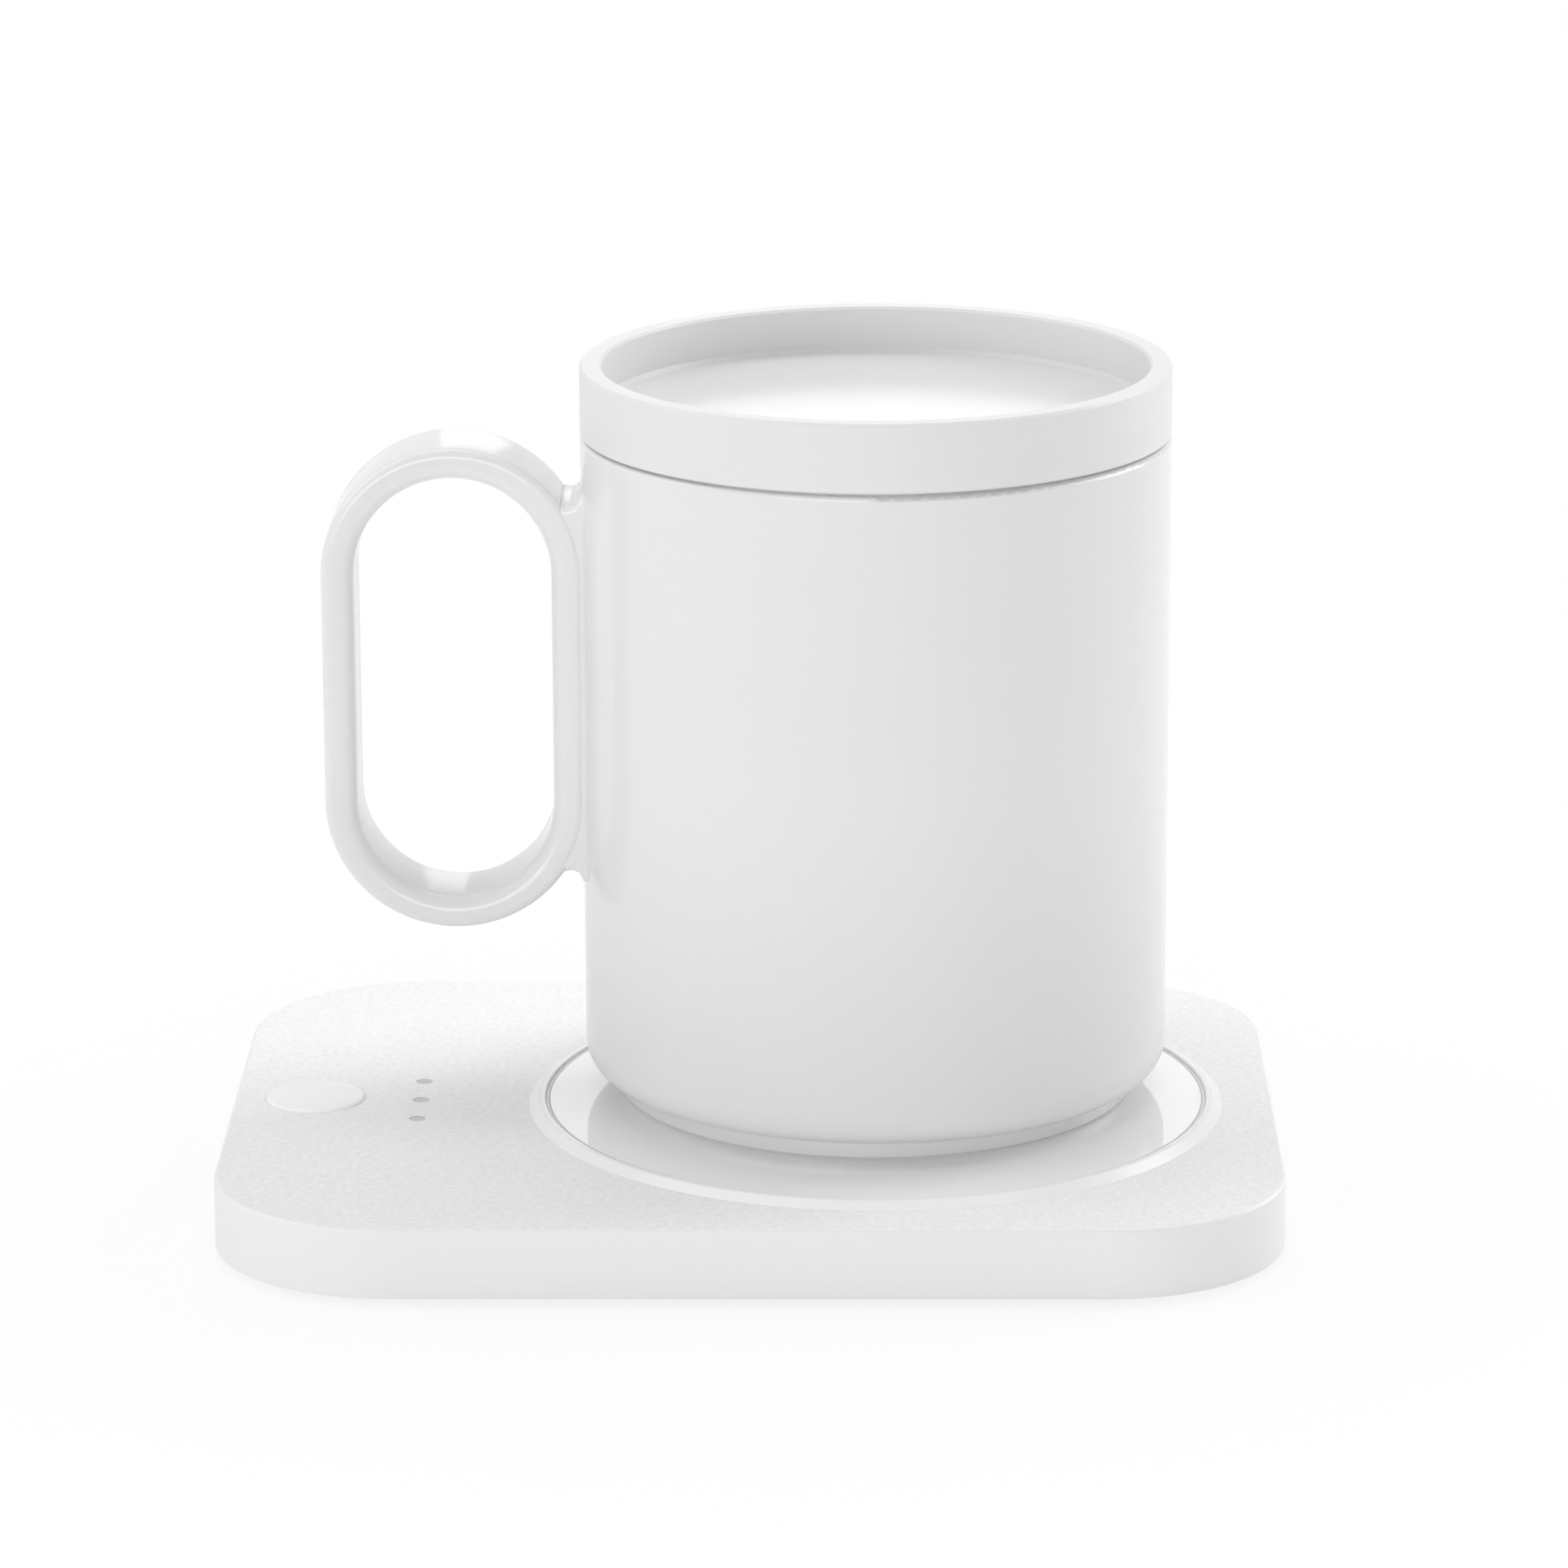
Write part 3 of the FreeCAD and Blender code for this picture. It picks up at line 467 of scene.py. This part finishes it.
def turned_ring(x, y, corners):
    """A ring turned on an upright axis from the corners of its section: radius and height."""
    shape = bmesh.new()
    section = [shape.verts.new((x + radius, y, height)) for radius, height in corners]
    shape.faces.new(section)
    bmesh.ops.spin(shape, geom=shape.faces[:] + shape.edges[:] + shape.verts[:],
                   cent=(x, y, 0), axis=(0, 0, 1), angle=math.tau, steps=180, use_merge=True)
    inner = [face for face in shape.faces if len(face.verts) == len(corners)]
    bmesh.ops.delete(shape, geom=inner, context="FACES_ONLY")
    return shape


button_low, button_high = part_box("button_cap")
button_x, button_y = [(button_low[axis] + button_high[axis]) / 2 for axis in (0, 1)]
lip_top = button_high[2] - lip_sunk
lip_section = (
    (lip_inner_r, lip_top - lip_depth),
    (lip_outer_r - lip_edge, lip_top - lip_depth),
    (lip_outer_r, lip_top - lip_taper_depth),
    (lip_outer_r, lip_top - lip_edge_depth),
    (lip_outer_r - lip_edge, lip_top),
    (lip_inner_r, lip_top),
)
piece("button_lip", turned_ring(button_x, button_y, lip_section),
      button_plastic, "button")


# The ring round the plate: gloss white plastic that snaps into the housing, bevelled down
# to it outside and in to the glass, with a silicone gasket under the plate's edge.
def clear_silicone():
    made, paint = finish("milky_silicone")
    haze = speckle(paint, 0.0012)
    return surface(made, paint, {
        "Base Color": tint(paint, haze, grey(0.85), grey(0.91)),
        "Roughness": 0.38 + 0.14 * haze,
        "Normal": relief(paint, haze, 0.00002),
    })


bezel_plastic = moulded_plastic(
    "bezel_plastic", level=0.88, roughness=0.24, grain=0.0006, depth=0.000006)
milky = clear_silicone()
dress(bezel_plastic, "plate_bezel")
dress(milky, "plate_gasket")


# The bead between the plate and its ring: milky silicone run into the groove and struck off
# just below the glass, so a fine line shows round the plate. Its depths are from its top.
bead_lap_r = 0.04512
bead_foot_r = 0.04536
bead_dip_r = 0.04550
bead_outer_r = 0.04574
bead_sunk = 0.00003
bead_depth = 0.0010
bead_dip_depth = 0.00005
bead_lap_depth = 0.00024

plate_low, plate_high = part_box("heating_plate")
plate_x = (plate_low[0] + plate_high[0]) / 2
bead_top = plate_high[2] - bead_sunk
bead_section = (
    (bead_foot_r, bead_top - bead_depth),
    (bead_outer_r, bead_top - bead_depth),
    (bead_outer_r, bead_top),
    (bead_dip_r, bead_top - bead_dip_depth),
    (bead_lap_r, bead_top),
    (bead_foot_r, bead_top - bead_lap_depth),
)
piece("plate_bead", turned_ring(plate_x, 0.0, bead_section), milky, "base")


# The heating plate: white enamelled glass, fired and polished flat, so it mirrors the mug
# at a low angle. A wiped film and fine haze break the gloss.
def enamelled_glass():
    made, paint = finish("white_enamelled_glass")
    wipe = speckle(paint, 0.013, detail=3.0)
    dust = speckle(paint, 0.0007)
    return surface(made, paint, {
        "Base Color": tint(paint, wipe, grey(0.90), grey(0.92)),
        "Roughness": 0.035 + 0.03 * wipe.clamped(0.45, 0.75),
        "Normal": relief(paint, dust, 0.0000004),
        "IOR": 1.38,
    })


dress(enamelled_glass(), "heating_plate")


# The heater stack under the plate: an aluminium spreader, the etched-foil heater in its
# amber polyimide film, a grey felt pad, and the pressed steel clamp that holds them up.
def rolled_metal(name, first, second, roughness):
    made, paint = finish(name)
    lines = drawn_lines(paint, squeeze=(0.04, 1.0, 1.0), fineness=3000.0, detail=3.0)
    cloud = speckle(paint, 0.009, detail=3.0)
    return surface(made, paint, {
        "Base Color": tint(paint, cloud, first, second),
        "Metallic": 1.0,
        "Roughness": roughness + 0.16 * lines,
        "Normal": relief(paint, lines, 0.000006),
    })


def heater_film():
    made, paint = finish("amber_film")
    centred = paint.node("ShaderNodeMapping", sockets={
        "Vector": on_piece(paint), "Location": (-0.017, 0, 0)})
    rings = paint.node("ShaderNodeTexWave", {"wave_type": "RINGS", "rings_direction": "Z"}, {
        "Vector": centred, "Scale": 110.0, "Distortion": 0.6, "Detail": 0.0}, "Fac")
    track = rings.clamped(0.42, 0.52)
    return surface(made, paint, {
        "Base Color": tint(paint, track, (0.42, 0.15, 0.02, 1), (0.52, 0.28, 0.12, 1)),
        "Metallic": 0.25 * track,
        "Roughness": 0.30 + 0.10 * track,
        "Normal": relief(paint, track, 0.00004),
        "Coat Weight": 0.5,
    })


def felt_pad():
    made, paint = finish("grey_felt")
    fibre = speckle(paint, 0.0004, detail=6.0)
    tuft = speckle(paint, 0.003, detail=4.0)
    return surface(made, paint, {
        "Base Color": tint(paint, 0.6 * fibre + 0.4 * tuft, grey(0.30), grey(0.52)),
        "Roughness": 0.90 + 0.08 * (fibre - 0.5),
        "Normal": relief(paint, fibre, 0.00015),
    })


aluminium = rolled_metal(
    "aluminium_sheet", (0.72, 0.73, 0.74, 1), (0.80, 0.80, 0.81, 1), roughness=0.26)
galvanised = rolled_metal(
    "galvanised_steel", (0.50, 0.52, 0.54, 1), (0.62, 0.64, 0.66, 1), roughness=0.34)
dress(aluminium, "heat_spreader")
dress(heater_film(), "heating_element")
dress(felt_pad(), "insulation_pad")
dress(galvanised, "heater_clamp")


# Heat control: a bead sensor and a thermal fuse held against the spreader, with their
# silicone-covered red leads dressed down to the board.
def lead_cover():
    made, paint = finish("red_silicone_wire")
    skin = speckle(paint, 0.0009, detail=3.0)
    return surface(made, paint, {
        "Base Color": tint(paint, skin, (0.42, 0.02, 0.015, 1), (0.55, 0.035, 0.025, 1)),
        "Roughness": 0.42 + 0.14 * skin,
        "Normal": relief(paint, skin, 0.00002),
    })


sensor_epoxy = moulded_plastic(
    "sensor_epoxy", level=0.30, roughness=0.35, grain=0.0004, depth=0.00001, patch=0.03)
fuse_sleeve = moulded_plastic(
    "fuse_sleeve", level=0.62, roughness=0.5, grain=0.0003, depth=0.00002, patch=0.03)
dress(lead_cover(), "heater_lead_front", "heater_lead_rear", "sensor_leads")
dress(sensor_epoxy, "temperature_sensor")
dress(fuse_sleeve, "thermal_fuse")


# The mug: slip-cast white porcelain under a clear gloss glaze that lies in very slight
# waves. Its colour is painted a shade darker low down, as painted shade on the mug's lower
# part.
def height_on(paint, low, high):
    """0 below the height low and 1 above high, in metres over the floor."""
    height = paint.node("ShaderNodeSeparateXYZ", sockets={0: on_piece(paint)}, output="Z")
    return height.clamped(low, high)


def glazed_porcelain():
    made, paint = finish("glazed_porcelain")
    wave = speckle(paint, 0.009, detail=1.0)
    body = speckle(paint, 0.03)
    thick = speckle(paint, 0.0035)
    # painted shade: the glaze colour darkens from 65 mm down to 15 mm over the floor, towards
    # the foot
    painted_shade_low = 1 - height_on(paint, 0.015, 0.065)
    even = tint(paint, 0.7 * body + 0.3 * thick, grey(0.812), grey(0.834))
    return surface(made, paint, {
        "Base Color": tint(paint, painted_shade_low, even, grey(0.745)),
        "Roughness": 0.11 + 0.05 * body,
        "Normal": relief(paint, wave, 0.000005),
        "IOR": 1.48,
    })


glaze = glazed_porcelain()
dress(glaze, "mug_body", "mug_handle")


# The handle: a flat stadium-shaped ring, cast on its own and sponged round on its four long
# edges, more on the inner ones, where a finger goes through, before it is luted on. It
# stands for the plainer ring of the solid model.
ring_x = -0.0407
ring_r = 0.0179
ring_band = 0.0044
ring_y = (-0.00025, 0.01425)
ring_z = (0.0531, 0.0849)
ring_outer_edge_r = 0.0013
ring_inner_edge_r = 0.0022
bend_steps = 64
edge_steps = 8
sharp = 1.0
seam = 0.00001


def points_of(parts):
    return [part for part in parts if isinstance(part, bmesh.types.BMVert)]


def faces_of(parts):
    return [part for part in parts if isinstance(part, bmesh.types.BMFace)]


def is_outer(edge):
    """Whether a long edge of the ring is one of its outer two."""
    place = edge.verts[0].co
    past = max(0.0, place.z - ring_z[1], ring_z[0] - place.z)
    return math.hypot(place.x - ring_x, past) > ring_r - ring_band / 2


ring = bmesh.new()
leg_x = ring_x + ring_r
section = [ring.verts.new((x, y, ring_z[0])) for x, y in (
    (leg_x, ring_y[0]), (leg_x, ring_y[1]),
    (leg_x - ring_band, ring_y[1]), (leg_x - ring_band, ring_y[0]))]
layer = [ring.faces.new(section)]
for height, way in ((ring_z[1], 1), (ring_z[0], -1)):
    risen = bmesh.ops.extrude_face_region(ring, geom=layer)["geom"]
    bmesh.ops.delete(ring, geom=layer, context="FACES_ONLY")
    rise = way * (ring_z[1] - ring_z[0])
    bmesh.ops.translate(ring, vec=(0, 0, rise), verts=points_of(risen))
    layer = faces_of(risen)
    bent = bmesh.ops.spin(ring, geom=layer, cent=(ring_x, 0, height), axis=(0, 1, 0),
                          angle=-math.pi, steps=bend_steps)
    bmesh.ops.delete(ring, geom=layer, context="FACES_ONLY")
    layer = faces_of(bent["geom_last"])
bmesh.ops.delete(ring, geom=layer, context="FACES_ONLY")
bmesh.ops.remove_doubles(ring, verts=ring.verts, dist=seam)
bmesh.ops.recalc_face_normals(ring, faces=ring.faces)
for outer, rounding in ((True, ring_outer_edge_r), (False, ring_inner_edge_r)):
    chosen = [edge for edge in ring.edges
              if edge.calc_face_angle(0.0) > sharp and is_outer(edge) == outer]
    bmesh.ops.bevel(ring, geom=chosen, offset=rounding, offset_type="OFFSET", affect="EDGES",
                    segments=edge_steps, profile=0.5, material=-1)
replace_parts(piece("handle_ring", ring, glaze, "mug"), "mug_handle")


# The luting: the slip that fixes the handle's straight leg to the wall. It is wiped smooth
# in front and behind, so the leg runs into the wall in a soft hollow, and it ends above and
# below in a round notch. Its sizes are in millimetres, about the middle of the handle.
mm = 0.001
slip_middle = (7.0, 69.0)
slip_front = 6.94
slip_wall_x = -23.3
slip_high = 27.3
slip_buried_x = (-25.9, -21.3)
slip_buried_y = 7.87
notch_r = 1.6
notch_x = -24.9
touch_x = -25.77
ring_rise = 15.9
hidden_edge = 1.7
hollow_centre = (-23.199, 7.54)
hollow_turn = math.radians(79.4)
hollow_steps = 10
front_cuts = 15
wiped_edge_r = 0.8
fade_length = 5.0
depths = (0.0, 0.05, 0.18, 0.4, 0.8, 1.5, 2.3, 3.5, 5.0, 9.0)


def slip_reach(x):
    """Height above the handle's middle at which the slip ends, by its place across."""
    if x >= slip_wall_x:
        return slip_high
    if x >= touch_x:
        return slip_high - math.sqrt(notch_r**2 - (x - notch_x) ** 2)
    sunk = min(1.0, (touch_x - x) / (touch_x - slip_buried_x[0]))
    radius = ring_r / mm - hidden_edge * sunk * (2 - sunk)
    return ring_rise + math.sqrt(radius**2 - (x - ring_x / mm) ** 2)


def wiped(place):
    """Moves a point of the plain prism, whose height counts depths, to the wiped shape."""
    x, y, count = place
    steps = abs(round(count))
    depth = depths[len(depths) - steps] if steps else slip_reach(x)
    fade = min(1.0, depth / fade_length)
    front = min(abs(y), slip_front) + max(0.0, abs(y) - slip_front) * fade * (2 - fade)
    turned = max(0.0, 1 - depth / wiped_edge_r)
    front -= wiped_edge_r * (1 - math.sqrt(1 - turned**2))
    height = math.copysign(slip_reach(x) - depth, count)
    return x, slip_middle[0] + math.copysign(front, y), slip_middle[1] + height


slip = bmesh.new()
front_ends = [slip.verts.new((x, slip_front, -len(depths)))
              for x in (slip_buried_x[0], hollow_centre[0])]
slip.edges.new(front_ends)
bmesh.ops.subdivide_edges(slip, edges=slip.edges[:], cuts=front_cuts)
hollow_start = max(slip.verts, key=lambda corner: corner.co.x)
round_hollow = bmesh.ops.spin(slip, geom=[hollow_start], cent=(*hollow_centre, 0),
                              axis=(0, 0, 1), angle=hollow_turn, steps=hollow_steps)
tip = points_of(round_hollow["geom_last"])
inside = bmesh.ops.extrude_vert_indiv(slip, verts=tip)["verts"][0]
inside.co = (slip_buried_x[1], slip_buried_y, -len(depths))
across = bmesh.ops.extrude_edge_only(slip, edges=slip.edges[:])["geom"]
for corner in points_of(across):
    corner.co.y = -corner.co.y
layer = slip.faces[:]
for step in range(2 * len(depths)):
    risen = bmesh.ops.extrude_face_region(slip, geom=layer)["geom"]
    if step:
        bmesh.ops.delete(slip, geom=layer, context="FACES_KEEP_BOUNDARY")
    layer = faces_of(risen)
    bmesh.ops.translate(slip, vec=(0, 0, 1), verts=points_of(risen))
for corner in slip.verts:
    corner.co = wiped(corner.co)
bmesh.ops.scale(slip, vec=(mm, mm, mm), verts=slip.verts)
piece("handle_luting", slip, glaze, "mug")


# The lid: a satin white plastic cap with a dished top, polished on its floor, over a ring
# that plugs the mug's mouth with a silicone seal.
def lid_plastic():
    made, paint = finish("lid_plastic")
    polished = facing_up(paint, 0.90, 0.98) * (1 - height_on(paint, 0.1075, 0.1085))
    fine = speckle(paint, 0.0005, detail=3.0)
    flow = speckle(paint, 0.02, detail=1.0)
    return surface(made, paint, {
        "Base Color": tint(paint, flow, grey(0.800), grey(0.826)),
        "Roughness": 0.36 - 0.18 * polished + 0.06 * (fine - 0.5),
        "Normal": relief(paint, fine * (1 - polished), 0.000008),
        "IOR": 1.45,
        "Specular IOR Level": 0.40,
    })


insert_plastic = moulded_plastic(
    "insert_plastic", level=0.79, roughness=0.40, grain=0.0006, depth=0.00001)
dress(lid_plastic(), "lid_cap")
dress(insert_plastic, "lid_insert")
dress(milky, "lid_seal")
